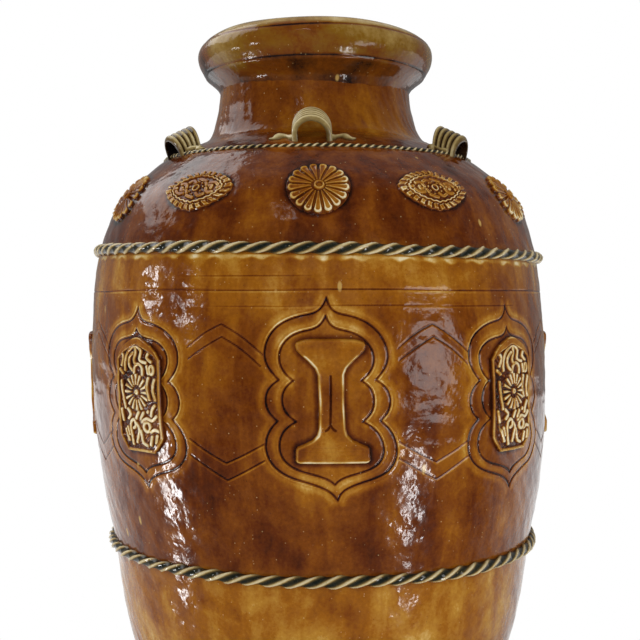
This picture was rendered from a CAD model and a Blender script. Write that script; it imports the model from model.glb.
"""Glazed martaban jar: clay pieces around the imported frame, a studio and a camera.

Lengths are in metres, but the tables and the drawings of reliefs are in mm. The front is at -Y,
azimuth 0, and azimuths grow towards +X. A way is a length along the wall's outline from the
foot. A relief is drawn as points across and up from its middle.
"""
import math

import bpy
import numpy as np
from numpy import cos, sin
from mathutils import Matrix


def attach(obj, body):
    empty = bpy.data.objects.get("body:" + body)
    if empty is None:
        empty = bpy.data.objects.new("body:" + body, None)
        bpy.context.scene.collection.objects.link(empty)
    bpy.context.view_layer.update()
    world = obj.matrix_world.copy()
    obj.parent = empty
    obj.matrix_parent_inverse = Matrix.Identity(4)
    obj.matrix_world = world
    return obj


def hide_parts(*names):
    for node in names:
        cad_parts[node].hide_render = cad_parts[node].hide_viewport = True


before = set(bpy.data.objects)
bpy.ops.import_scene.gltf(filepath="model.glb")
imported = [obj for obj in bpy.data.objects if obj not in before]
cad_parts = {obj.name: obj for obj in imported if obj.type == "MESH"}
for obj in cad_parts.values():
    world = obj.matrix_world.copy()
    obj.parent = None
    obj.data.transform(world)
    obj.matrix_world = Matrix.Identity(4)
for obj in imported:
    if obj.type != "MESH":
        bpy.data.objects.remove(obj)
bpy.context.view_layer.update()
mm = 0.001
full_turn = 2 * math.pi

# Outline of the wall: rings as radius and height in mm, and shares of the way between them
rings = [
    (172, 0), (254, 364), (276.5, 585), (266.5, 706), (187, 819), (116.2, 905), (116.2, 946),
]
ring_shares = [
    [(0.335, 0.3), (0.683, 0.632), (0.852, 0.786)],
    [(0.404, 0.213), (0.789, 0.495)],
    [(0.41, 0.628)],
    [(0.108, 0.265), (0.235, 0.487), (0.402, 0.653), (0.64, 0.805)],
    [(0.212, 0.093), (0.424, 0.174), (0.6, 0.23), (0.72, 0.279), (0.805, 0.349), (0.862, 0.442),
     (0.907, 0.558), (0.958, 0.721)],
    [],
]
lower_joint, upper_joint, neck_joint, lip_joint = 0.364, 0.706, 0.819, 0.926
wall = 12 * mm
floor_thickness = 16 * mm
foot_bevel = 3 * mm

# How the real jar leans and swells, in mm at heights in mm
lean_points = [
    (0, 0), (150, 3.6), (275, 5.2), (350, 5.5), (420, 5.0), (480, 4.0), (530, 2.5), (570, 1.5),
    (610, 0.7), (650, -0.2), (690, -0.6), (730, 0.1), (800, 0.4), (835, -2.0), (860, -3.6),
    (925, -4.0), (950, -3.4), (975, -1.6),
]
swell_points = [
    (0, 0), (150, 1.6), (275, 2.8), (350, 2.4), (450, 2.3), (500, 1.9), (570, 1.4), (620, 1.1),
    (680, 0.4), (740, 0.0), (975, 0.0),
]

# Lugs: azimuth in degrees, then height, height of the hole and distance out from the wall in mm
lugs = [
    (-1.5, 833, 21.5, 2), (60, 826.5, 16.5, 6), (120, 829.2, 17.5, 5), (180, 832, 20, 4),
    (240, 829.2, 17.5, 5), (300, 826.5, 16.5, 6),
]
lug_hole_width, lug_length, lug_web = 32, 32, 5.4
lug_drop_angle, lug_tilt_angle = 26, 13

# Sprigs and panels: azimuths in degrees, heights and sizes in mm
chrysanthemum_azimuths = [0, 63, 121, 180, 239, 297]
lozenge_azimuths = [30.5, 91, 149.5, 209, 268.5, 328]
medallion_height = 770
flower_radius, flower_petals = 33, 17
lozenge_width, lozenge_tall = 89, 54
pedestal_azimuths = [2.5, 92, 181, 272]
tablet_azimuths = [48.4, 137, 226.5, 316]
panel_height = 551
relief_sink = 2


def smooth_line(points, count):
    """Natural cubic curve through points, at evenly spaced distances along its chords."""
    points = np.asarray(points, float)
    knots = np.concatenate(([0], np.cumsum(np.linalg.norm(np.diff(points, axis=0), axis=1))))
    gaps = np.diff(knots)
    total = len(knots)
    matrix, right = np.eye(total), np.zeros(points.shape)
    for i in range(1, total - 1):
        matrix[i, i - 1:i + 2] = gaps[i - 1], 2 * (gaps[i - 1] + gaps[i]), gaps[i]
        right[i] = 6 * (
            (points[i + 1] - points[i]) / gaps[i] - (points[i] - points[i - 1]) / gaps[i - 1]
        )
    bend = np.linalg.solve(matrix, right)
    along = np.linspace(0, knots[-1], count)
    span = np.clip(np.searchsorted(knots, along, side="right") - 1, 0, total - 2)
    after = (knots[span + 1] - along)[:, None]
    before = (along - knots[span])[:, None]
    gap = gaps[span][:, None]
    cubic = (bend[span] * after ** 3 + bend[span + 1] * before ** 3) / (6 * gap)
    start = (points[span] / gap - bend[span] * gap / 6) * after
    end = (points[span + 1] / gap - bend[span + 1] * gap / 6) * before
    return cubic + start + end


def outline_points():
    """Points of the wall's outline, in metres."""
    points = [rings[0]]
    for lower, upper, shares in zip(rings, rings[1:], ring_shares):
        for out, up in shares:
            points.append(
                (lower[0] + (upper[0] - lower[0]) * out, lower[1] + (upper[1] - lower[1]) * up)
            )
        points.append(upper)
    return np.array(points) * mm


outline = smooth_line(outline_points(), 8001)
steps = np.diff(outline, axis=0)
ways = np.concatenate(([0], np.cumsum(np.linalg.norm(steps, axis=1))))
slopes = np.gradient(outline, axis=0)
slopes /= np.linalg.norm(slopes, axis=1)[:, None]
lean_table = smooth_line(lean_points, 400) * mm
swell_table = smooth_line(swell_points, 400) * mm


def way_at(height):
    """Way along the outline at a height."""
    return np.interp(height, outline[:, 1], ways)


def radius_at(way):
    """Radius of the outline at a way."""
    return np.interp(way, ways, outline[:, 0])


# Slow unevenness of thrown clay, in mm: waves around the wall, up the wall, and in patches
random = np.random.default_rng(11)
round_waves = [(2, 0.9), (3, 0.5), (5, 0.22), (7, 0.12)]
wave_turns = random.uniform(0, full_turn, (len(round_waves), 2))
ring_waves = [(0.021, 0.07), (0.034, 0.1), (0.013, 0.04)]
ring_turns = random.uniform(0, full_turn, (len(ring_waves), 2))
patch_waves = [
    (
        random.integers(6, 70),
        full_turn / random.uniform(0.022, 0.11),
        random.uniform(0, full_turn),
        random.uniform(0.02, 0.07),
    )
    for _ in range(26)
]


def clay_wave(azimuth, way):
    """How far the clay stands out from the smooth outline."""
    height = 0 * azimuth + 0 * way
    for (count, size), (turn, drift) in zip(round_waves, wave_turns):
        height = height + size * cos(count * azimuth + turn + 1.4 * sin(5 * way + drift))
    for (length, size), (turn, drift) in zip(ring_waves, ring_turns):
        height = height + size * sin(full_turn * way / length + turn + sin(azimuth + drift))
    for count, per_metre, turn, size in patch_waves:
        height = height + size * cos(count * azimuth + per_metre * way + turn)
    return height * mm


def placed(radius, azimuth, height):
    """Point of the jar with its lean, from a radius, an azimuth and a height."""
    lean = np.interp(height, lean_table[:, 0], lean_table[:, 1])
    across = radius * sin(azimuth) + lean
    return np.stack(np.broadcast_arrays(across, -radius * cos(azimuth), height), -1)


def on_wall(azimuth, way, rise=0.0):
    """Points above the wall by a rise, square to the outline."""
    height = np.interp(way, ways, outline[:, 1])
    inward = np.interp(way, ways, slopes[:, 0])
    upward = np.interp(way, ways, slopes[:, 1])
    swell = np.interp(height, swell_table[:, 0], swell_table[:, 1])
    radius = radius_at(way) + swell + clay_wave(azimuth, way) + rise * upward
    return placed(radius, azimuth, height - rise * inward)


def unit(value):
    """Value held between 0 and 1."""
    return np.clip(value, 0, 1)


def ease(value, low, high):
    """Smooth step from 0 at low to 1 at high."""
    share = unit((value - low) / (high - low))
    return share * share * (3 - 2 * share)


def hump(value, middle, width):
    """Smooth hump, 1 high, around a middle."""
    return np.exp(-(((value - middle) / width) ** 2))


def around_in(columns):
    """Row of angles once around."""
    return (np.arange(columns) * full_turn / columns)[None, :]


def blurred(field, passes):
    """Field averaged with its neighbours, around its columns and between its rows."""
    for _ in range(passes):
        field = (np.roll(field, 1, 1) + 2 * field + np.roll(field, -1, 1)) / 4
        padded = np.pad(field, ((1, 1), (0, 0)), mode="edge")
        field = (padded[:-2] + 2 * field + padded[2:]) / 4
    return field


def edges_and_hollows(height, passes, reach):
    """How much each point of a height field stands over and lies under its neighbours."""
    over = (height - blurred(height, passes)) / reach
    return unit(over), unit(-over)


# Meshes
def ring_mesh(name, loops, thin=0, pool=0, closed=False, capped=(False, False)):
    """Skin over rows of loops. Closed joins the last row to the first, and a capped end gets a
    middle point. Thin and pool say where the glaze runs off an edge and gathers in a hollow."""
    rows, columns = loops.shape[:2]
    index = np.arange(rows * columns).reshape(rows, columns)
    lower = index if closed else index[:-1]
    upper = np.roll(index, -1, 0) if closed else index[1:]
    quads = np.stack([lower, np.roll(lower, -1, 1), np.roll(upper, -1, 1), upper], -1)
    points, corners = [loops.reshape(-1, 3)], [quads.ravel()]
    middle = rows * columns
    for end, row in zip(capped, (0, -1)):
        if end:
            ring = index[row]
            ahead = np.roll(ring, -1)
            pair = (ahead, ring) if row == 0 else (ring, ahead)
            corners.append(np.stack([*pair, np.full(columns, middle)], -1).ravel())
            points.append(loops[row].mean(0)[None, :])
            middle += 1
    points, corners = np.concatenate(points), np.concatenate(corners)
    sizes = np.repeat([4, 3], [quads.size // 4, columns * sum(capped)])
    mesh = bpy.data.meshes.new(name)
    mesh.vertices.add(len(points))
    mesh.vertices.foreach_set("co", points.astype(np.float32).ravel())
    mesh.loops.add(len(corners))
    mesh.loops.foreach_set("vertex_index", corners.astype(np.int32))
    mesh.polygons.add(len(sizes))
    mesh.polygons.foreach_set("loop_start", (np.cumsum(sizes) - sizes).astype(np.int32))
    mesh.polygons.foreach_set("use_smooth", np.ones(len(sizes), bool))
    mesh.update(calc_edges=True)
    for label, values in (("thin", thin), ("pool", pool)):
        field = np.zeros(len(points), np.float32)
        field[:rows * columns] = np.broadcast_to(values, (rows, columns)).ravel()
        attribute = mesh.attributes.new(label, "FLOAT", "POINT")
        attribute.data.foreach_set("value", field)
    piece = bpy.data.objects.new(name, mesh)
    bpy.context.collection.objects.link(piece)
    return piece


def dress(piece, node, slot):
    """Give a piece the glaze of its slot and let it stand for a node of the frame."""
    piece.data.materials.append(glazes[slot])
    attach(piece, "root")
    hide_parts(node)


def glazed_piece(node, slot, loops, *marks, **ends):
    """Glazed skin over rows of loops that stands for a node of the frame."""
    dress(ring_mesh("glazed_" + node, loops, *marks, **ends), node, slot)


# Materials
class Nodes:
    """Short ways to add shader nodes to a tree."""

    def __init__(self, tree):
        self.tree = tree
        tree.nodes.clear()

    def add(self, kind, links=None, **settings):
        node = self.tree.nodes.new(kind)
        for key, value in settings.items():
            setattr(node, key, value)
        for key, value in (links or {}).items():
            socket = node.inputs[key]
            if isinstance(value, bpy.types.NodeSocket):
                self.tree.links.new(value, socket)
            else:
                socket.default_value = value
        return node

    def math(self, operation, first, second=0.0, clamp=False):
        links = {0: first, 1: second}
        return self.add("ShaderNodeMath", links, operation=operation, use_clamp=clamp).outputs[0]

    def swing(self, noise, size):
        """Noise that swings around 0 instead of a half."""
        return self.math("MULTIPLY", self.math("SUBTRACT", noise, 0.5), size)

    def ramp(self, value, stops, smooth=False):
        node = self.add("ShaderNodeValToRGB", {0: value})
        node.color_ramp.interpolation = "EASE" if smooth else "LINEAR"
        elements = node.color_ramp.elements
        while len(elements) < len(stops):
            elements.new(0.5)
        for element, (place, colour) in zip(elements, stops):
            element.position = place
            grey = isinstance(colour, (int, float))
            element.color = (colour, colour, colour, 1) if grey else (*colour, 1)
        return node.outputs[0]

    def stretch(self, place, upwards):
        """Place with its height scaled."""
        links = {0: place, 1: (1.0, 1.0, upwards)}
        return self.add("ShaderNodeVectorMath", links, operation="MULTIPLY").outputs[0]

    def noise(self, vector, scale, detail=2.0, roughness=0.5, distortion=0.0):
        links = {
            "Vector": vector, "Scale": scale, "Detail": detail, "Roughness": roughness,
            "Distortion": distortion,
        }
        return self.add("ShaderNodeTexNoise", links).outputs[0]

    def spots(self, vector, scale, size, amount):
        """Small round spots: 1 inside a spot, on that share of the cells."""
        links = {"Vector": vector, "Scale": scale, "Randomness": 1.0}
        cells = self.add("ShaderNodeTexVoronoi", links)
        near = self.ramp(cells.outputs["Distance"], [(0.0, 1.0), (size * 0.6, 1.0), (size, 0.0)])
        pick = self.add("ShaderNodeSeparateColor", {0: cells.outputs["Color"]}).outputs[0]
        return self.math("MULTIPLY", near, self.math("LESS_THAN", pick, amount))

    def mix(self, share, first, second):
        node = self.add("ShaderNodeMix", data_type="RGBA")
        for key, value in ((0, share), (6, first), (7, second)):
            if isinstance(value, bpy.types.NodeSocket):
                self.tree.links.new(value, node.inputs[key])
            else:
                node.inputs[key].default_value = value if key == 0 else (*value, 1)
        return node.outputs[2]


def with_nodes(kind, name):
    """New material or world, and its empty tree of nodes."""
    made = kind.new(name)
    made.use_nodes = True
    return made, Nodes(made.node_tree)


# Colours of each glaze from thin over a ridge to thick in a hollow, linear
glaze_stops = [
    (0.0, (0.74, 0.62, 0.38)), (0.12, (0.58, 0.38, 0.12)), (0.25, (0.42, 0.2, 0.024)),
    (0.4, (0.29, 0.1, 0.006)), (0.55, (0.185, 0.05, 0.0042)), (0.7, (0.105, 0.0215, 0.0028)),
    (0.85, (0.042, 0.0085, 0.0024)), (1.0, (0.011, 0.0042, 0.0026)),
]
rope_stops = [
    (0.0, (0.62, 0.52, 0.31)), (0.2, (0.42, 0.31, 0.135)), (0.4, (0.2, 0.125, 0.04)),
    (0.62, (0.055, 0.04, 0.016)), (1.0, (0.009, 0.012, 0.009)),
]
rim_stops = [
    (0.0, (0.6, 0.49, 0.27)), (0.25, (0.36, 0.235, 0.07)), (0.5, (0.205, 0.098, 0.0085)),
    (0.72, (0.16, 0.043, 0.0042)), (1.0, (0.016, 0.006, 0.004)),
]
lug_stops = [
    (0.0, (0.6, 0.5, 0.27)), (0.25, (0.3, 0.215, 0.08)), (0.5, (0.14, 0.088, 0.027)),
    (0.75, (0.045, 0.022, 0.008)), (1.0, (0.008, 0.005, 0.004)),
]
pale_speck, pale_drop, pinhole_colour = (0.55, 0.4, 0.17), (0.52, 0.33, 0.09), (0.03, 0.012, 0.006)
dark_clay, light_clay, glaze_lip = (0.33, 0.205, 0.105), (0.5, 0.36, 0.215), (0.05, 0.018, 0.006)
warp_height = 0.03
swing_gain = 2.4


def glaze(
    name, depths, stops, runs=0.27, mottle=0.3, edges=0.5, hollows=0.5, peel=0.6,
    bare_height=0.0,
):
    """Glossy iron glaze. Its depth of colour follows the height, runs, edges and hollows, and
    with a bare height it ends in an uneven edge over bare clay above the foot."""
    material, nodes = with_nodes(bpy.data.materials, name)
    place = nodes.add("ShaderNodeTexCoord").outputs["Object"]
    height = nodes.add("ShaderNodeSeparateXYZ", {0: place}).outputs[2]
    warp = nodes.math("MULTIPLY", nodes.noise(place, 7.0, 3.0), warp_height)
    low, high = depths[0][0], depths[-1][0]
    above = nodes.math("SUBTRACT", nodes.math("ADD", height, warp), low + warp_height / 2)
    share = nodes.math("DIVIDE", above, high - low)
    depth = nodes.ramp(share, [((z - low) / (high - low), value) for z, value in depths])

    run_noise = nodes.noise(nodes.stretch(place, 0.19), 30.0, 4.0, 0.55, 0.5)
    patches = nodes.noise(place, 16.0, 5.0, 0.6, 0.4)
    grain = nodes.noise(place, 260.0, 3.0, 0.7)
    for noise, size in (
        (run_noise, swing_gain * runs), (patches, swing_gain * mottle), (grain, 0.24)
    ):
        depth = nodes.math("ADD", depth, nodes.swing(noise, size))
    thin, pool = (
        nodes.math(
            "MULTIPLY", nodes.add("ShaderNodeAttribute", attribute_name=label).outputs["Fac"], size
        )
        for label, size in (("thin", edges), ("pool", hollows))
    )
    depth = nodes.math("ADD", nodes.math("SUBTRACT", depth, thin), pool, clamp=True)
    colour = nodes.ramp(depth, stops)

    speck = nodes.spots(place, 210.0, 0.16, 0.16)
    speck = nodes.math("MULTIPLY", speck, nodes.noise(place, 24.0, 2.0))
    colour = nodes.mix(speck, colour, pale_speck)
    drop = nodes.spots(nodes.stretch(place, 0.42), 46.0, 0.13, 0.1)
    colour = nodes.mix(nodes.math("MULTIPLY", drop, 0.8), colour, pale_drop)
    pinholes = nodes.spots(place, 330.0, 0.12, 0.22)
    colour = nodes.mix(pinholes, colour, pinhole_colour)

    relief = nodes.math("MULTIPLY", nodes.noise(place, 170.0, 3.0, 0.55), 0.3 * peel)
    for field, size in (
        (nodes.noise(place, 62.0, 2.5, 0.5), 1.6 * peel), (run_noise, 0.3 * peel),
        (pinholes, -0.25),
    ):
        relief = nodes.math("ADD", relief, nodes.math("MULTIPLY", field, size))
    bump = nodes.add("ShaderNodeBump", {"Height": relief, "Strength": 1.0, "Distance": 0.0011})
    rough = nodes.ramp(nodes.noise(place, 90.0, 4.0), [(0.3, 0.07), (0.75, 0.2)])
    if bare_height:
        sag = nodes.math("MULTIPLY", nodes.noise(place, 13.0, 3.0), 0.06)
        share = nodes.math("DIVIDE", nodes.math("SUBTRACT", height, sag), bare_height)
        bare = nodes.ramp(share, [(0.24, 1.0), (0.28, 0.0)])
        lip = nodes.ramp(share, [(0.26, 0.0), (0.29, 0.8), (0.36, 0.0)])
        colour = nodes.mix(lip, colour, glaze_lip)
        colour = nodes.mix(bare, colour, nodes.mix(patches, dark_clay, light_clay))
        rough = nodes.mix(bare, rough, (0.85, 0.85, 0.85))
    links = {"Base Color": colour, "Roughness": rough, "IOR": 1.52, "Normal": bump.outputs[0]}
    surface = nodes.add("ShaderNodeBsdfPrincipled", links)
    nodes.add("ShaderNodeOutputMaterial", {0: surface.outputs[0]})
    return material


def even(depth):
    """Depths of a glaze that is the same at every height."""
    return [(0.0, depth), (1.0, depth)]


# Depth of colour at heights up the body and up the lip
body_depths = [
    (0.0, 0.42), (0.2, 0.4), (0.3, 0.36), (0.35, 0.38), (0.375, 0.63), (0.42, 0.63),
    (0.5, 0.59), (0.58, 0.57), (0.64, 0.53), (0.668, 0.44), (0.7, 0.4), (0.716, 0.66),
    (0.77, 0.69), (0.815, 0.67), (0.835, 0.57), (0.845, 0.49), (0.88, 0.5), (0.93, 0.58),
]
rim_depths = [(0.0, 0.68), (0.928, 0.7), (0.945, 0.52), (1.0, 0.4)]
glazes = {
    name: glaze(name, depths, stops, *sizes)
    for name, depths, stops, *sizes in (
        ("amber_glaze", body_depths, glaze_stops),
        ("lower_glaze", body_depths, glaze_stops, 0.27, 0.3, 0.5, 0.5, 0.6, 0.05),
        ("rim_glaze", rim_depths, rim_stops, 0.12, 0.5, 0.4),
        ("rope_glaze", even(0.5), rope_stops, 0.1, 0.28, 0.5, 0.45, 0.2),
        ("lug_glaze", even(0.54), lug_stops, 0.1, 0.5, 0.45, 0.52, 0.3),
        ("medallion_glaze", even(0.52), glaze_stops, 0.14, 0.42, 0.52, 0.22, 0.2),
        ("panel_glaze", even(0.54), glaze_stops, 0.22, 0.36, 0.56, 0.3, 0.2),
    )
}


# Lines cut into the belly, as points across and up from the middle of a panel, in mm
outer_lobes = [
    [(0, 104.7), (3, 97), (9, 90.5), (20, 87), (34, 83), (48, 75), (57, 65), (62, 52), (62, 42),
     (57, 31), (49, 21.6)],
    [(49, 21.6), (58, 14), (62.9, 0.8), (60, -11), (52, -20)],
    [(52, -20), (61, -30), (66.7, -46), (64, -60), (54, -72), (34, -81), (14, -88), (4, -95),
     (0, -101.4)],
]
inner_lobes = [
    [(0, 86.5), (3, 80), (8, 75), (20, 71), (34, 65.5), (43, 57), (47.5, 46), (47, 38), (42, 28),
     (34.6, 21)],
    [(34.6, 21), (43, 13), (46.4, 0.2), (43, -11), (33.3, -20.4)],
    [(33.3, -20.4), (46, -30), (52.5, -48), (50, -58), (41, -67), (26, -73), (10, -78),
     (3, -82), (0, -84.9)],
]
outer_tablet_share, inner_tablet_share = 0.95, 0.88
cartouche_shift, cartouche_slant, tip_shift = -2.9, -0.037, 3.0
chevrons = [
    [(-41, 53), (-22, 67), (0, 77.5), (20, 66), (44, 47)],
    [(-40, 41), (-20, 54), (0, 64.5), (20, 53), (42, 35)],
    [(-42, -42), (-20, -55), (0, -65), (20, -56), (42, -44)],
    [(-42, -59), (-20, -72), (0, -83), (20, -73), (42, -61)],
]
# Drawn rings: height and wave in mm, first and last angle, points and faintness
ring_lines = [
    (660.5, 3.0, 0.0, full_turn, 3400, 0.5),
    (676.0, 2.2, -0.62, -0.02, 330, 0.8),
    (646.0, 1.2, -0.5, 0.9, 770, 0.8),
]
line_step = 0.5
far = 19.0


def dense(points):
    """Points about a line step apart along a smooth line, in mm."""
    points = np.array(points, float)
    length = np.linalg.norm(np.diff(points, axis=0), axis=1).sum()
    return smooth_line(points, max(4, int(length / line_step)))


def corner_line(points):
    """Points about a line step apart along smooth lines with a corner at the middle point."""
    middle = len(points) // 2
    return np.concatenate([dense(points[:middle + 1]), dense(points[middle:])])


def cartouche_lines(azimuth, grow, tablet):
    """Lines of the two lobed frames around a panel, with the side of the burr and faintness."""
    slant = cartouche_slant * (0.5 if tablet else 1)
    for lobes, top in ((outer_lobes, outer_tablet_share), (inner_lobes, inner_tablet_share)):
        for side in (-1, 1):
            for lobe in lobes:
                line = dense(lobe) * grow
                line[:, 0] *= side
                if tablet:
                    tall = 1 + (top - 1) * ease(line[:, 1], 40, 90)
                    line[:, 1] = line[:, 1] * tall - 5 * ease(line[:, 1], -100, 20)
                line[:, 0] += cartouche_shift + slant * line[:, 1]
                line[:, 0] += tip_shift * (line[:, 1] / 100) ** 4
                yield azimuth, line, -side, 0.0


def belly_lines():
    """Every cut line as angles, ways in mm, the side that its burr lies on and faintness."""
    middle_way = way_at(panel_height * mm) / mm
    panels = sorted(pedestal_azimuths + tablet_azimuths)
    drawn = []
    for number, azimuth in enumerate(panels):
        grow = 1 + 0.02 * math.sin(2.3 * number)
        drawn += cartouche_lines(azimuth, grow, azimuth in tablet_azimuths)
        ahead = panels[(number + 1) % len(panels)]
        middle = azimuth + ((ahead - azimuth) % 360) / 2
        drawn += [(middle, corner_line(chevron), 1, 0.4) for chevron in chevrons]
    lines = []
    for azimuth, line, side, faint in drawn:
        wobble = 0.5 * sin(line.sum(1) / 17 + azimuth)
        line_way = middle_way + line[:, 1]
        turn = math.radians(azimuth) + (line[:, 0] + wobble) * mm / radius_at(line_way * mm)
        lines.append((turn, line_way, side, faint))
    for height, wave, start, end, count, faint in ring_lines:
        turn = np.linspace(start, end, count)
        line_way = way_at(height * mm) / mm + wave * cos(turn) + 0.5 * sin(7 * turn)
        lines.append((turn, line_way, 1, faint))
    return lines


def stamp(field, row_ways, turns, line_ways, reach, faint=0.0):
    """Lower a field of distances, in mm, to the distance from a line on the wall."""
    rows, columns = field.shape
    row_step = row_ways[1] - row_ways[0]
    spread = int(reach / row_step) + 1
    offsets = np.arange(-spread, spread + 1)
    column_at = turns / full_turn * columns
    row_at = (line_ways - row_ways[0]) / row_step
    width = radius_at(line_ways * mm) / mm * full_turn / columns
    for up in offsets:
        row = np.floor(row_at).astype(int) + up
        inside = (row >= 0) & (row < rows)
        for across in offsets:
            column = np.floor(column_at).astype(int) + across
            distance = np.hypot((column - column_at) * width, (row - row_at) * row_step)
            cells = row[inside], column[inside] % columns
            np.minimum.at(field, cells, distance[inside] + faint)


def groove_fields(row_ways, columns):
    """Distances in mm to the cut lines, to the burrs beside them and to the glow inside."""
    cut, burr, glow = (np.full((len(row_ways), columns), far) for _ in range(3))
    for turns, line_ways, side, faint in belly_lines():
        stamp(cut, row_ways, turns, line_ways, 4, faint)
        radius = radius_at(line_ways * mm) / mm
        across, up = np.gradient(turns) * radius, np.gradient(line_ways)
        length = np.hypot(across, up) + 1e-9
        for field, shift, reach in ((burr, 1.9, 3), (glow, 5.5, 7)):
            if faint and field is glow:
                continue
            beside = turns + side * shift * up / length / radius
            stamp(field, row_ways, beside, line_ways - side * shift * across / length, reach, faint)
    return cut, burr, glow


def moat(outside, columns, outlines):
    """Pooled glaze close around the reliefs on a stretch of wall."""
    halo = np.full((len(outside), columns), far)
    for azimuth, height, line in outlines:
        way = way_at(height * mm) / mm + line[:, 1]
        turn = math.radians(azimuth) + line[:, 0] * mm / radius_at(way * mm)
        stamp(halo, outside[:, 0] / mm, turn, way, 6)
    return 0.6 * unit(1 - halo / 5)


# Stretches of wall. Each surface gives rise, thin and pool
def belly_surface(around, outside):
    """Belly with cut lines, burrs beside them, pale drips under the rope and dark moats."""
    cut, burr, glow = groove_fields(outside[:, 0] / mm, around.size)
    groove = unit(1 - cut / 1.5)
    ridge = hump(burr, 0, 0.9) * (1 - groove)
    beside = unit(1 - cut / 3.6) * (1 - groove)
    patchy = 0.5 + 0.5 * cos(9 * around + 31 * outside)
    below = (way_at(upper_joint) - outside) / mm - 4.2 * sin(around) - 0.8
    drips = 1.6 * sin(31 * around) * sin(17 * around + 1) + 1.2 * sin(83 * around)
    fringe = ease(below, 6, 8) * ease(below, 12.5 + drips, 9.5 + drips)
    fringe = fringe * (0.62 + 0.38 * sin(47 * around + 2 * sin(13 * around)))
    glowing = unit(1 - glow / 6.5) ** 1.3
    thin = unit(0.8 * ridge * patchy + 0.12 * beside + 0.42 * glowing + 0.75 * fringe)
    pool = np.maximum(unit(1.3 * groove), moat(outside, around.size, panel_outlines()))
    return (0.32 * ridge - 1.3 * groove) * mm, thin, pool


def shoulder_surface(around, outside):
    """Plain shoulder with dark moats around its sprigs."""
    return 0, 0, moat(outside, around.size, medallion_outlines())


def neck_surface(around, outside):
    """Plain neck with a darker patch of glaze around the foot of its front."""
    height = np.interp(outside, ways, outline[:, 1]) / mm
    turn = np.degrees((around + math.pi) % full_turn - math.pi)
    top = 842.5 - 0.011 * np.abs(turn + 2) ** 1.75 + 0.8 * sin(turn / 5)
    return 0, 0, 0.26 * ease(top - height, -0.5, 0.8)


def vessel_piece(node, low, high, columns, row_step, surface):
    """Hollow stretch of the vessel between two level joins."""
    first, last = way_at(low), way_at(high)
    outside = np.linspace(first, last, int(round((last - first) / (row_step * mm))) + 1)[:, None]
    inside = np.linspace(last, first, 14)[:, None]
    around = around_in(columns)
    rise, *marks = surface(around, outside)
    outer = on_wall(around, outside, rise)
    inner = on_wall(around, inside, -wall)
    inner[0, :, 2], inner[-1, :, 2] = high, low
    hidden = np.zeros((len(inside), columns))
    thin, pool = (np.concatenate([mark + 0 * outer[..., 0], hidden]) for mark in marks)
    loops = np.concatenate([outer, inner])
    glazed_piece(node, "amber_glaze", loops, thin, pool, closed=True)


def base_piece():
    """Foot, floor and lower wall, closed under and over the floor."""
    around = around_in(720)

    def ring(radius, height):
        return placed(radius + 0 * around, around, height + 0 * around)

    foot = radius_at(0)
    under = [ring(foot * share, 0) for share in (0.02, 0.5, 0.9)] + [ring(foot - foot_bevel, 0)]
    outside = np.linspace(way_at(foot_bevel), way_at(lower_joint), 190)[:, None]
    inside = np.linspace(way_at(lower_joint), way_at(floor_thickness + 6 * mm), 24)[:, None]
    inner = on_wall(around, inside, -wall)
    inner[0, :, 2] = lower_joint
    floor_edge = radius_at(way_at(floor_thickness)) - wall
    floor_rows = [ring(floor_edge * share, floor_thickness) for share in (0.97, 0.5, 0.02)]
    loops = np.concatenate([*under, on_wall(around, outside), inner, *floor_rows])
    glazed_piece("base_section", "lower_glaze", loops, capped=(True, True))


# Rolled lip: radius and height in mm, from under the roll outwards, over the crown and in
lip_points = [
    (114.8, 900), (117.2, 906), (120.2, 911.2), (125, 916), (130.6, 920.6), (135.6, 925),
    (138.2, 930), (141.6, 936), (143.9, 943), (144.2, 951), (140.8, 960.5), (133, 967.5),
    (124, 972.5), (114, 973.6), (107.5, 968), (105.5, 957), (105.5, 940), (107.5, 928),
    (110.5, 908),
]


def rim_piece():
    """Thick rolled lip with a soft step near its top edge and a crease under the roll."""
    profile = smooth_line(lip_points, 120)
    around = around_in(720)
    radius, height = profile[:, :1], profile[:, 1:]
    outer = ease(radius, 128, 136)
    step = hump(height, 961 + 1.2 * sin(3 * around), 1.1) * outer
    crease = hump(height, 927 + 0.8 * sin(2 * around + 1), 1.0) * outer
    dent = 0.5 * sin(5 * around + 0.3 * height / 4) + 0.35 * sin(13 * around + 2 + height / 9)
    radius = radius - 0.9 * step - 0.8 * crease + 0.5 * outer * dent
    lift = 0.7 * cos(2 * around + 0.8) + 0.4 * sin(5 * around)
    height = height + lift * ease(height, 940, 965)
    worn = ease(height, 963, 968) * ease(radius, 112, 122)
    worn = worn * (0.55 + 0.45 * sin(9 * around + 1.3) * sin(4 * around))
    patch = ease(sin(3 * around + 0.4) * sin(height / 7 + 2 * around), 0.55, 0.9)
    under = ease(height, 930, 922) * ease(radius, 104, 112)
    thin = unit(worn + 0.3 * patch * outer)
    pool = unit(0.9 * step + 0.7 * crease + 0.2 * under)
    loops = placed(radius * mm, around, height * mm)
    glazed_piece("rim_roll", "rim_glaze", loops, thin, pool, closed=True)


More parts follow.
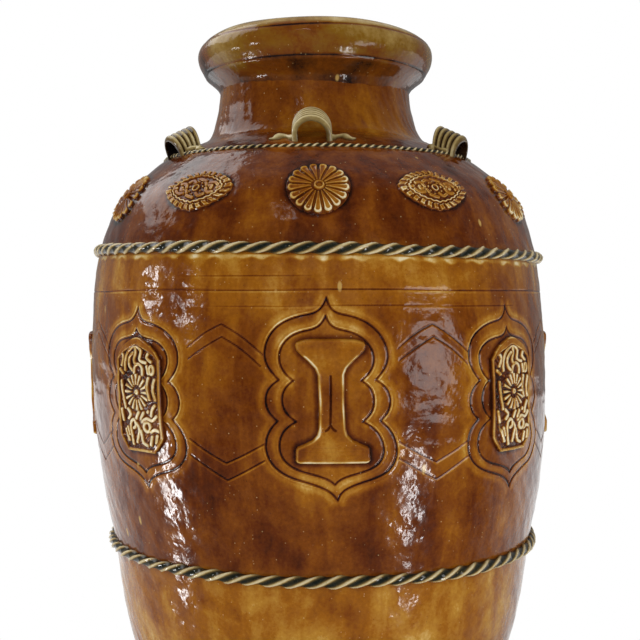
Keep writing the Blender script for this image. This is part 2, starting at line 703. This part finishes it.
def rope_piece(node, height, radius, stand, pitch, ridges, depth, tilt=0.0, drop=0.0):
    """Twisted clay rope around the wall, round a ring that may tilt and drop, in mm."""
    middle = way_at(height)
    turns = round(full_turn * float(radius_at(middle)) / (pitch * ridges * mm))
    around = around_in(turns * 54).T
    loop = -around_in(40)
    wave = np.abs(sin(ridges / 2 * (loop - turns * around)))
    thickness = 1 + 0.06 * sin(11 * around + 1) + 0.04 * sin(29 * around)
    size = radius * thickness * (1 - depth * wave ** 0.62)
    shift = size * sin(loop) + tilt * sin(around) - drop + 0.35 * sin(9 * around)
    rise = (stand + size * cos(loop)) * mm
    loops = on_wall(around + 0 * loop, middle + shift * mm, rise)
    under = unit(-sin(loop) - 0.6)
    thin = unit((0.62 - wave) / 0.4 + 0.8 * under) * unit(cos(loop) * 1.5 + 0.4)
    pool = unit((wave - 0.6) / 0.35)
    glazed_piece(node, "rope_glaze", loops, thin, pool, closed=True)


def relief_loops(azimuth, height, across, up, rise):
    """Wall points of a relief, from places across and up in mm around its middle."""
    way = way_at(height * mm) + up * mm
    turn = math.radians(azimuth) + across * mm / radius_at(way)
    return on_wall(turn, way, rise * mm)


def near_points(across, up, parts):
    """Distance of each place to the nearest point in some lists of points, in mm."""
    flat = np.stack([across.ravel(), up.ravel()], -1)
    best = np.full(len(flat), 99.0)
    for part in parts:
        gap = np.hypot(flat[:, :1] - part[:, 0], flat[:, 1:] - part[:, 1]).min(1)
        best = np.minimum(best, gap)
    return best.reshape(across.shape)


def near_lines(across, up, lines):
    """Distance of each place to the nearest of some smooth lines, in mm."""
    return near_points(across, up, [dense(line) for line in lines])


# Sprigs on the shoulder
def medallion(node, azimuth, across, up, rise, thin, pool):
    """Sprig in rows from its rim to its middle, over an underside sunk in the wall."""
    across = np.concatenate([across[:1] * 0.5, across[:1], across])
    up = np.concatenate([up[:1] * 0.5, up[:1], up])
    sunk = np.full_like(rise[:1], -relief_sink)
    loops = relief_loops(azimuth, medallion_height, across, up, np.concatenate([sunk, sunk, rise]))
    thin, pool = (np.pad(mark, ((2, 0), (0, 0))) for mark in (thin, pool))
    glazed_piece(node, "medallion_glaze", loops, thin, pool, capped=(True, True))


def flower_height(radius, angle, petals, root, tip, thick):
    """Height of spoon shaped petals around a middle, and how much of a rim each place is."""
    share = angle * petals / full_turn
    side = np.abs(2 * (share - np.floor(share)) - 1)
    along = unit((radius - root) / (tip - root))
    half = 0.46 + 0.42 * along
    end = tip * (1 - 0.13 * (side / 0.9) ** 2.2)
    inside = ease(half - side, -0.08, 0.2) * ease(end - radius, -0.3, 1.8)
    inside = inside * ease(radius, root - 0.8, root + 1.2)
    rim = unit(0.45 * hump(side, half - 0.22, 0.15) * along + hump(end - radius, 2.2, 1.5))
    dish = 1 - 0.3 * ease(along, 0.45, 0.8) * (1 - rim) * ease(side, 0.6, 0.1)
    return inside * thick * dish * (0.8 + 0.2 * rim), inside * rim


def chrysanthemum(number, azimuth):
    """Round sprig of a many petalled flower with a dimpled boss."""
    angle = -around_in(flower_petals * 26)
    ring = np.linspace(1, 0.02, 66)[:, None]
    radius = ring * (flower_radius + 0.7) * (1 + 0 * angle)
    across, up = radius * sin(angle), radius * cos(angle)
    wobble = 0.25 * sin(3 * angle + azimuth) + 0.2 * sin(5 * angle + number)
    petal, rim = flower_height(
        radius, angle + 0.02 * wobble, flower_petals, 7.2, flower_radius, 3.9
    )
    boss_radius = np.hypot(across - 0.7, up + 0.5)
    boss = np.maximum(5.4 * hump(boss_radius, 4.3, 1.7), 3 * ease(5 - boss_radius, 0, 2))
    plate = ease(flower_radius - 7 - radius, -2, 2)
    plate = plate - 0.9 * ease(radius, flower_radius - 6, flower_radius - 3)
    rise = np.maximum.reduce([petal, plate, boss]) - 0.6 * ease(ring, 0.985, 1)
    edge, hollow = edges_and_hollows(rise, 3, 0.35)
    tips = ease(radius, 20, 31) * ease(petal, 1.5, 3.0)
    thin = unit(0.5 * edge + 0.7 * rim * ease(rise, 1.8, 3.4) + 0.42 * tips)
    thin = thin * (0.78 - 0.22 * cos(angle + 0.5))
    pool = unit(hollow + ease(1.6 - rise, 0, 1.2))
    medallion(f"chrysanthemum_medallion_{number}", azimuth, across, up, rise, thin, pool)


# Frets of one half of a lozenge. The other half has them turned half around
lozenge_frets = [
    [(-26, -3), (-22, -6), (-15, -6)],
    [(-22, 6), (-16, 6), (-13, 1)],
    [(-19, 1), (-19, -2), (-16, -2)],
    [(-12, 8), (-7, 10), (-3, 7)],
    [(-9, -9), (-4, -11), (0, -12)],
    [(-31, 0), (-27, 1)],
    [(-12, -3), (-10, -6)],
]
lozenge_bars, lozenge_scallops = 24, 22


def lozenge(number, azimuth):
    """Pointed oval sprig: hooked border, plain ring, frets and a small ring in the middle."""
    angle = -around_in(560)
    ring = np.linspace(1, 0.02, 84)[:, None]
    edge_share = 1 - 0.1 * np.abs(sin(2 * angle)) ** 1.2
    edge_share = edge_share * (1 + 0.018 * cos(lozenge_scallops * angle))
    edge_across = lozenge_width / 2 * sin(angle) * edge_share
    edge_up = lozenge_tall / 2 * cos(angle) * edge_share
    across, up = ring * edge_across, ring * edge_up
    inset = (1 - ring) * np.hypot(edge_across, edge_up) * (0.72 + 0.28 * np.abs(cos(angle)))
    arc = np.cumsum(np.hypot(np.gradient(edge_across[0]), np.gradient(edge_up[0])))
    beat = (arc / arc[-1] * lozenge_bars)[None, :]
    border = ease(np.abs(((beat + 0.04 * inset) % 1) - 0.5), 0.4, 0.2)
    border = border * ease(inset, 0.3, 2.0) * ease(inset, 7.4, 5.6)
    border = border * (0.85 + 0.15 * sin(7 * angle + number))
    hooks = hump(inset, 6.4, 0.8) * ease((beat + 0.35) % 1, 0.25, 0.4)
    frets = lozenge_frets + [[(-x, -y) for x, y in line] for line in lozenge_frets]
    fret = ease(near_lines(across, up, frets), 2.7, 1.1)
    radius = np.hypot(across, up)
    dots = hump(radius, 8.2, 1.3) * ease(cos(9 * np.arctan2(across, up)), 0.1, 0.7)
    shape = np.maximum.reduce([
        border, 0.8 * hooks, hump(inset, 9.6, 1.25), 0.85 * fret, hump(radius, 3.6, 1.2),
        0.8 * dots,
    ])
    rise = 1.2 * ease(inset, 0.0, 1.0) + 2.7 * shape
    edge, hollow = edges_and_hollows(rise, 3, 0.35)
    worn = 0.3 - 0.28 * cos(angle + 0.6 * sin(2 * angle + number))
    thin = unit(0.9 * edge + worn * ease(shape, 0.6, 1))
    pool = unit(hollow + 0.45 * ease(0.5 - shape, 0, 0.4))
    medallion(f"lozenge_medallion_{number}", azimuth, across, up, rise, thin, pool)


# Panels on the belly. Outlines are heights above the middle and half widths, from the bottom up
pedestal_half = [
    (-63.5, 33), (-62.5, 36), (-60, 37.8), (-48, 37.2), (-45, 35), (-42, 28), (-38, 20),
    (-33, 15.5), (-27, 14), (0, 13.2), (27, 14), (33, 16.5), (40, 23), (47, 30.5), (51, 34.5),
    (57, 36), (60.5, 34), (62.5, 28), (63.5, 20),
]
tablet_half = [
    (-62, 22), (-58, 26.5), (-50, 33.5), (-45, 36.5), (38.5, 36.5), (47, 30), (53.5, 22),
    (58, 13), (61, 6), (62, 2),
]
pedestal_lines = [
    [(-0.5, 25.7), (-1.0, 0.0), (-2.0, -23.5)],
    [(-2.0, -23.0), (-4.0, -27.0), (-6.5, -29.0)],
    [(-2.0, -23.0), (0.5, -27.0), (3.0, -29.0)],
]
# Stems and rings of the tablets, in hundredths of half their width and height
tablet_strokes = [
    [(-8, 84), (-38, 72), (-52, 55), (-52, 42)], [(-10, 72), (-30, 62), (-30, 50), (-15, 42)],
    [(0, 82), (0, 70), (-6, 58), (4, 52)], [(5, 84), (24, 74), (20, 62), (45, 56)],
    [(-8, 38), (0, 50), (18, 53), (30, 46), (30, 36)], [(50, 50), (56, 38)],
    [(55, 30), (50, 14), (58, -6)], [(-72, 22), (-66, -2), (-58, -24)], [(-80, -28), (-72, -46)],
    [(-30, -86), (-34, -72), (-36, -58), (-30, -46), (-16, -44), (-12, -54), (-22, -58)],
    [(-62, -62), (-56, -72), (-50, -80)], [(10, -62), (14, -72), (20, -82), (36, -86)],
    [(20, -46), (40, -40), (60, -42), (82, -34)], [(55, -62), (72, -58), (86, -60)],
    [(58, -70), (52, -84)], [(78, -68), (74, -80)], [(-78, 74), (-62, 66), (-70, 50)],
    [(62, 76), (50, 66), (66, 58)], [(-80, 42), (-66, 36)], [(80, 28), (74, 10), (82, -6)],
    [(78, -16), (66, -24), (60, -34)], [(-46, -26), (-34, -34), (-44, -42)],
    [(-6, -50), (4, -58), (-2, -70), (-10, -82)], [(26, -30), (16, -40)],
    [(-52, -58), (-46, -70)], [(45, -28), (47, -27)], [(5, -30), (-5, -40)],
]
tablet_rings = [(68, 44, 8, 7), (40, -54, 13, 8)]


def closed_outline(half_points):
    """Points about a line step apart around a shape with a half width at each height."""
    right = [(width, height) for height, width in half_points]
    left = [(-width, height) for height, width in half_points]
    corners = right + left[::-1] + right[:1]
    edge = []
    for start, end in zip(corners, corners[1:]):
        length = math.hypot(end[0] - start[0], end[1] - start[1])
        edge.append(np.linspace(start, end, max(2, int(length / line_step))))
    return np.concatenate(edge)


def panel_outlines():
    """Azimuth, height and outline of every panel on the belly."""
    shapes = [(azimuth, pedestal_half) for azimuth in pedestal_azimuths]
    shapes += [(azimuth, tablet_half) for azimuth in tablet_azimuths]
    return [(azimuth, panel_height, closed_outline(half)) for azimuth, half in shapes]


def medallion_outlines():
    """Azimuth, height and outline of every medallion on the shoulder."""
    turn = np.linspace(0, full_turn, 500)
    ring = np.stack([sin(turn), cos(turn)], -1)
    oval = ring * (lozenge_width / 2 - 3, lozenge_tall / 2 - 3)
    shapes = [(azimuth, ring * flower_radius) for azimuth in chrysanthemum_azimuths]
    shapes += [(azimuth, oval) for azimuth in lozenge_azimuths]
    return [(azimuth, medallion_height, line) for azimuth, line in shapes]


def panel_grid(half_points, columns):
    """Places across and up over a panel in mm, and their distance to its outline."""
    heights, widths = np.array(half_points).T
    up = np.linspace(heights[0], heights[-1], int((heights[-1] - heights[0]) / 0.7) + 1)[:, None]
    even_share = np.linspace(-1, 1, columns)[None, :]
    share = 0.65 * even_share + 0.35 * sin(even_share * math.pi / 2)
    across = share * np.interp(up, heights, widths)
    up = up + 0 * across
    return across, up, near_points(across, up, np.array_split(closed_outline(half_points), 12))


def panel_piece(node, azimuth, across, up, rise, thin, pool):
    """Panel from its grid of places and heights, closed over an underside sunk in the wall."""
    under = np.linspace(1, 0, 8)[None, :]
    under_across = across[:, :1] + (across[:, -1:] - across[:, :1]) * under
    underside = np.full(under_across.shape, -relief_sink - 1)
    across = np.concatenate([across, under_across], 1)
    up = np.concatenate([up, up[:, :1] + 0 * under_across], 1)
    top_rise = np.concatenate([rise, underside], 1)
    end_rise = np.concatenate([0 * rise - relief_sink, underside - 0.5], 1)
    top, ends = (
        relief_loops(azimuth, panel_height, across, up, side) for side in (top_rise, end_rise)
    )
    loops = np.concatenate([ends[:1], top, ends[-1:]])
    thin, pool = (np.pad(mark, ((1, 1), (0, under.size))) for mark in (thin, pool))
    glazed_piece(node, "panel_glaze", loops, thin, pool, capped=(True, True))


def pedestals():
    """Waisted pedestals with bevelled edges and a forked line down the shaft."""
    across, up, inset = panel_grid(pedestal_half, 84)
    line = near_lines(across, up, pedestal_lines)
    scratches = [[(-30, height), (30, height + 1)] for height in (-46, -50, -54, -58)]
    scratch = near_lines(across, up, scratches)
    cut = 1.6 * ease(line, 1.4, 0.2) + 0.3 * ease(scratch, 0.9, 0.3)
    raised = 3.9 * ease(inset, -0.2, 2.6) + 0.9 * hump(inset, 2.6, 1.7)
    blocks = ease(up, -58, -61) + ease(up, 48, 44) * ease(up, 28, 34)
    shaft = ease(np.abs(up), 42, 30)
    lower_left = ease(across, 4, -4) * (up < 0)
    bevel = hump(inset, 2.2, 1.3) * unit(0.15 + 0.85 * shaft + blocks + 0.5 * lower_left)
    pool = unit(ease(line, 1.9, 0.5) + ease(inset, 0.9, 0.2))
    for number, azimuth in enumerate(pedestal_azimuths, 1):
        rise = raised + 0.3 * sin(up / 9 + number) - cut
        thin = bevel * (0.75 + 0.25 * sin(up / 6 + 2 * number + across / 9))
        panel_piece(f"pedestal_panel_{number}", azimuth, across, up, rise, thin, pool)


def tablets():
    """Framed tablets with a flower and twining stems on a sunk field."""
    across, up, inset = panel_grid(tablet_half, 108)
    half_sizes = np.array([36.5, 62.0])
    turn = np.linspace(0, full_turn, 9)
    strokes = [np.array(line) / 100 * half_sizes for line in tablet_strokes]
    for x, y, wide, tall in np.array(tablet_rings) / 100:
        ring = np.stack([x + wide * cos(turn), y + tall * sin(turn)], -1)
        strokes.append(ring * half_sizes)
    stroke = ease(near_lines(across, up, strokes), 2.9, 1.0)
    flower_up = up - 0.046 * half_sizes[1]
    radius = np.hypot(across, flower_up)
    petals = ease(cos(16 * np.arctan2(across, flower_up)), -0.25, 0.5)
    petals = petals * ease(radius, 7.4, 8.6) * ease(radius, 20.6, 19.0)
    boss = ease(radius, 4.0, 2.2)
    apex = ease(up, 38, 52)
    width = 3.6 + 5.0 * apex
    frame_bar = ease(inset, -0.1, 1.3) * ease(inset, width + 0.8, width - 0.6)
    figure = np.maximum.reduce([stroke, petals, boss]) * ease(inset, width, width + 1)
    shape = np.maximum(0.85 * frame_bar, figure)
    crumbs = sin(across / 1.9 + 2 * sin(up / 3)) * sin(up / 2.1 + 2 * sin(across / 4))
    crumbs = 1.1 * unit(crumbs) * (1 - shape) * ease(inset, 2, 4)
    raised = 1.7 * ease(inset, -0.1, 1.0) + 3.1 * shape + crumbs
    crest = ease(figure, 0.6, 1.0) * (0.75 + 0.25 * sin(across / 5 + up / 7))
    for number, azimuth in enumerate(tablet_azimuths, 1):
        rise = raised + 0.2 * sin(across / 7 + up / 11 + number)
        edge, hollow = edges_and_hollows(rise, 4, 0.5)
        thin = unit(0.6 * edge + 0.62 * crest + 0.25 * apex * frame_bar)
        pool = unit(hollow + 0.75 * ease(0.45 - shape, 0, 0.35))
        panel_piece(f"floral_tablet_{number}", azimuth, across, up, rise, thin, pool)


# Lugs
tail_points = {
    -1: [(-18, -11), (-23, -8), (-30, -2.5), (-38, -4.5), (-44, -10), (-49, -9)],
    1: [(18, -11), (23, -8), (28, -3.5), (35, -3), (40, -8), (45, -10.5), (49, -7)],
}
lug_leg_depth = 11.0
lug_ribs = 5


def lug_place(azimuth, height, stand, across, up, along):
    """Point of a lug: across its hole, up its arch and along its tunnel, in mm."""
    turn = math.radians(azimuth)
    drop, tilt = math.radians(lug_drop_angle), math.radians(lug_tilt_angle)
    seat = radius_at(way_at(height * mm)) / mm + stand
    out = seat + along * math.cos(drop) + up * math.sin(tilt)
    rise = height - along * math.sin(drop) + up * math.cos(tilt)
    lean = np.interp(rise * mm, lean_table[:, 0], lean_table[:, 1])
    x = (out * math.sin(turn) + across * math.cos(turn)) * mm + lean
    y = (-out * math.cos(turn) + across * math.sin(turn)) * mm
    return np.stack(np.broadcast_arrays(x, y, rise * mm), -1)


def lug(number, azimuth, height, hole_height, stand):
    """Ribbed strap bent over a hole, with a curled tail of clay at each foot, one mesh."""
    half = lug_hole_width / 2
    leg_top = hole_height - half
    legs, arch = lug_leg_depth + leg_top, math.pi * half
    reach = np.linspace(0, 1, 72)[:, None]
    length = reach * (2 * legs + arch)
    turn = np.clip((length - legs) / half, 0, math.pi)
    below = np.where(length < legs, legs - length, np.maximum(0, length - legs - arch))
    around = np.linspace(0, 1, 96, endpoint=False)[None, :]
    outer = around < 0.75
    along = np.where(outer, around / 0.75 * 2 - 1, 1 - (around - 0.75) / 0.25 * 2)
    wave = np.abs(sin(unit((along + 1) / 2) * math.pi * lug_ribs)) ** 0.55
    crown = unit(1 - np.abs(along) ** 14)
    thick = np.where(outer, (lug_web - 2.6 + 3.2 * wave) * (0.35 + 0.65 * crown), 0.0)
    thick = thick * (1 + 0.05 * sin(3 * reach * math.pi + number))
    spread = 1 + 0.1 * sin(turn) - 0.05 * cos(2 * turn)
    loops = lug_place(
        azimuth, height, stand, -cos(turn) * (half + thick),
        leg_top - below + sin(turn) * (half + thick), along * lug_length / 2 * spread,
    )
    crest = np.where(outer, unit((wave - 0.72) / 0.28), 0)
    gap = np.where(outer, unit((0.62 - wave) / 0.4), 0.75)
    ends = unit((np.abs(along) - 0.9) / 0.08)
    thin = unit(crest * 0.85 + 0.22 * ends * (gap < 0.7))
    pool = gap * (1 - 0.6 * ends)
    strap = ring_mesh(f"strap_{number}", loops, thin, pool, capped=(True, True))
    bpy.ops.object.select_all(action="DESELECT")
    for piece in (strap, *(lug_tail(number, azimuth, height, side) for side in tail_points)):
        piece.select_set(True)
    bpy.context.view_layer.objects.active = strap
    bpy.ops.object.join()
    strap.name = f"glazed_strap_lug_{number}"
    dress(strap, f"strap_lug_{number}", "lug_glaze")


def lug_tail(number, azimuth, height, side):
    """Curled tail of clay along the wall from a lug's foot."""
    points = smooth_line(tail_points[side], 46)
    away = np.gradient(points, axis=0)
    away /= np.linalg.norm(away, axis=1)[:, None]
    share = np.linspace(0, 1, len(points))[:, None]
    swell = 1 + 0.28 * sin(share * 11 + number)
    thick = (4.2 - share) * swell * np.sqrt(np.clip(1 - share ** 9, 0.02, 1))
    loop = -around_in(22)
    lateral = thick * sin(loop)
    across = points[:, :1] - away[:, 1:] * lateral
    up = points[:, 1:] + away[:, :1] * lateral
    loops = relief_loops(azimuth, height, across, up, 0.5 + thick * 0.95 * cos(loop))
    thin, pool = 0.8 * unit(cos(loop) * 1.6 - 0.5), unit(0.3 - cos(loop))
    return ring_mesh(f"tail_{number}_{side}", loops, thin, pool, capped=(True, True))


base_piece()
vessel_piece("belly_section", lower_joint, upper_joint, 1440, 1.25, belly_surface)
vessel_piece("shoulder_section", upper_joint, neck_joint, 960, 1.4, shoulder_surface)
vessel_piece("neck_collar", neck_joint, lip_joint, 720, 1.4, neck_surface)
rim_piece()
rope_piece("lower_rope_band", lower_joint, 7.2, 1.6, 22.5, 3, 0.34)
rope_piece("upper_rope_band", upper_joint, 7.2, 1.6, 22.5, 3, 0.34, tilt=-4.2, drop=0.8)
rope_piece("neck_cord", neck_joint, 2.7, 0.2, 9.0, 2, 0.22)
for number, place in enumerate(lugs, 1):
    lug(number, *place)
for number, azimuth in enumerate(chrysanthemum_azimuths, 1):
    chrysanthemum(number, azimuth)
for number, azimuth in enumerate(lozenge_azimuths, 1):
    lozenge(number, azimuth)
pedestals()
tablets()


# Studio
def world_light():
    """White backdrop behind and beside the jar and a dim room on the viewer's side."""
    bpy.context.scene.world, nodes = with_nodes(bpy.data.worlds, "studio")
    direction = nodes.add("ShaderNodeTexCoord").outputs["Generated"]
    back = nodes.add("ShaderNodeSeparateXYZ", {0: direction}).outputs[1]
    share = nodes.add("ShaderNodeMapRange", {0: back, 1: -0.25, 2: 0.55, 3: 0.02, 4: 0.25})
    path = nodes.add("ShaderNodeLightPath")
    diffuse_ray = path.outputs["Is Diffuse Ray"]
    strength = nodes.mix(diffuse_ray, (0, 0, 0), (0.42, 0.42, 0.42))
    glossy = nodes.mix(diffuse_ray, (1, 1, 1), (0, 0, 0))
    seen = nodes.math("MULTIPLY", glossy, share.outputs[0])
    level = nodes.math("ADD", seen, strength)
    level = nodes.math("MAXIMUM", level, path.outputs["Is Camera Ray"])
    shade = nodes.add("ShaderNodeBackground", {0: (1, 1, 1, 1), 1: level})
    nodes.add("ShaderNodeOutputWorld", {0: shade.outputs[0]})


def floor():
    """Pale matt floor that turns into the white backdrop further out."""
    rows = np.array([0.001, 0.3, 0.6, 1.0, 2.0, 6.0])[:, None]
    turn = around_in(96)
    loops = np.stack(np.broadcast_arrays(rows * cos(turn), rows * sin(turn), -0.0004), -1)
    ground = ring_mesh("floor", loops, capped=(True, False))
    material, nodes = with_nodes(bpy.data.materials, "pale_floor")
    place = nodes.add("ShaderNodeTexCoord").outputs["Object"]
    distance = nodes.add("ShaderNodeVectorMath", {0: place}, operation="LENGTH").outputs["Value"]
    fade = nodes.ramp(distance, [(0.4, 0.0), (0.66, 1.0)], smooth=True)
    back = nodes.add("ShaderNodeSeparateXYZ", {0: place}).outputs[1]
    behind = nodes.add("ShaderNodeMapRange", {0: back, 1: -0.3, 2: 1.2, 3: 0.0, 4: 1.0}).outputs[0]
    path = nodes.add("ShaderNodeLightPath").outputs
    glossy = nodes.math("MULTIPLY", path["Is Glossy Ray"], behind)
    seen = nodes.math("MAXIMUM", path["Is Camera Ray"], glossy)
    share = nodes.math("MULTIPLY", fade, seen)
    front = nodes.math("SUBTRACT", 1.0, behind)
    dim = nodes.math("MULTIPLY", path["Is Glossy Ray"], front)
    paint = nodes.mix(dim, (0.8, 0.8, 0.79), (0.1, 0.1, 0.1))
    matt = nodes.add("ShaderNodeBsdfDiffuse", {0: paint})
    white = nodes.add("ShaderNodeEmission", {0: (1, 1, 1, 1), 1: 1.0})
    both = nodes.add("ShaderNodeMixShader", {0: share, 1: matt.outputs[0], 2: white.outputs[0]})
    nodes.add("ShaderNodeOutputMaterial", {0: both.outputs[0]})
    ground.data.materials.append(material)


# Soft boxes: name, place, target, width, height, watts and whether reflections show them
soft_boxes = [
    ("left_low", (-0.83, -0.28, 0.19), (-0.2, -0.2, 0.3), 0.045, 0.34, 1.4, True),
    ("left_window", (-0.99, -0.24, 0.78), (-0.2, -0.18, 0.66), 0.045, 0.11, 0.42, True),
    ("left_pane", (-0.88, -0.57, 0.76), (-0.15, -0.22, 0.65), 0.03, 0.09, 0.22, True),
    ("right_low", (0.55, -0.71, 0.175), (0.1, -0.24, 0.3), 0.04, 0.31, 0.9, True),
    ("right_glow", (0.93, -0.82, 0.6), (0.12, -0.23, 0.58), 0.42, 0.34, 1.3, True),
    ("high_strip", (-0.45, -1.7, 2.3), (0.0, -0.1, 0.95), 0.3, 0.03, 0.35, True),
    ("left_sky", (-1.2, 0.45, 1.95), (-0.15, -0.1, 0.78), 1.5, 1.2, 9.0, True),
    ("top_box", (0.0, 0.3, 2.2), (0.0, 0.0, 0.7), 1.4, 1.0, 12, False),
    ("front_fill", (0.0, -2.4, 1.3), (0.0, 0.0, 0.6), 2.2, 1.8, 22, False),
]


def soft_box(name, place, target, width, tall, watts, glossy):
    """Area lamp that faces a point."""
    light = bpy.data.lights.new(name, "AREA")
    light.shape = "RECTANGLE"
    light.size, light.size_y, light.energy = width, tall, watts
    lamp = bpy.data.objects.new(name, light)
    bpy.context.collection.objects.link(lamp)
    lamp.location = place
    east, north, up = np.array(target) - np.array(place)
    lamp.rotation_euler = (
        math.atan2(math.hypot(east, north), -up), 0.0, math.atan2(north, east) - math.pi / 2
    )
    lamp.visible_camera = False
    lamp.visible_glossy = glossy


def camera():
    """Camera at the photograph's place: level view, a little downwards."""
    image_pixels, focal_pixels, horizon_row = 640.0, 1116.0, 292.0
    data = bpy.data.cameras.new("camera")
    data.sensor_width = 36.0
    data.lens = focal_pixels * data.sensor_width / image_pixels
    data.clip_start = 0.01
    view = bpy.data.objects.new("camera", data)
    bpy.context.collection.objects.link(view)
    view.location = (0.0025, -1.395, 0.661)
    downwards = math.atan2(image_pixels / 2 - horizon_row, focal_pixels)
    view.rotation_euler = (math.pi / 2 - downwards, 0, 0)
    bpy.context.scene.camera = view


world_light()
floor()
for box in soft_boxes:
    soft_box(*box)
camera()
bpy.context.scene.view_settings.view_transform = "Standard"
